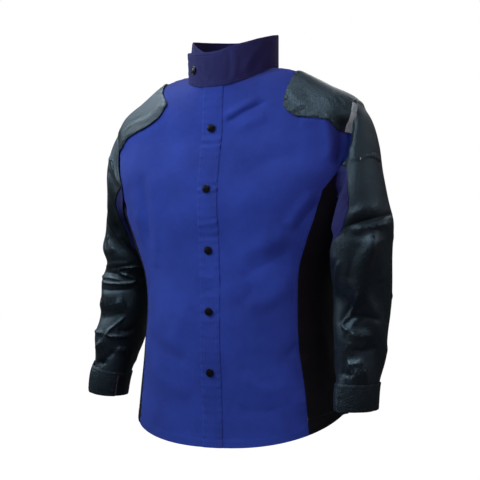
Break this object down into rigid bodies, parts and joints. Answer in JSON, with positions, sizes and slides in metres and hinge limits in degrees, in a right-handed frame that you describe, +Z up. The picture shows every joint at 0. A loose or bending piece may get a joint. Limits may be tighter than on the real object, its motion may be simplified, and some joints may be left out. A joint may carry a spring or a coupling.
{
  "type": "welding jacket",
  "caption": "Welding jacket in blue cotton with black leather shoulders and sleeves, black side panels, a wrap-over stand collar, a snap front and overlapping cuffs",
  "frame": {"origin": "middle of the neck at the height of the shoulder line, where a neck holds the jacket", "axes": "+Z up, -Y to the front of the jacket, +X to the wearer's left"},
  "size_m": [0.7145, 0.2936, 0.8404],
  "materials": {
    "blue_cotton": "plain woven flame-retardant cotton, matte",
    "navy_cotton": "dark navy woven cotton, matte",
    "black_stretch": "black stretch cloth, matte",
    "black_leather": "black pebbled cowhide, soft sheen",
    "pale_hide": "grey textured hide strip",
    "grey_tape": "grey hook tape",
    "dark_metal": "dark gunmetal snap caps"
  },
  "bodies": {
    "root": {"front_left": "blue_cotton", "front_right": "blue_cotton", "back_panel": "blue_cotton", "placket": "blue_cotton", "sleeve_panel_left": "blue_cotton", "sleeve_panel_right": "blue_cotton", "collar": "navy_cotton", "side_panel_left": "black_stretch", "side_panel_right": "black_stretch", "shoulder_yoke_left": "black_leather", "shoulder_yoke_right": "black_leather", "sleeve_left": "black_leather", "sleeve_right": "black_leather", "cuff_left": "black_leather", "cuff_right": "black_leather", "sleeve_pocket_welt": "black_leather", "armhole_strip_left": "pale_hide", "cuff_tape_left": "grey_tape", "cuff_tape_right": "grey_tape", "snap_1": "dark_metal", "snap_2": "dark_metal", "snap_3": "dark_metal", "snap_4": "dark_metal", "snap_5": "dark_metal", "collar_snap": "dark_metal"}
  },
  "joints": []
}
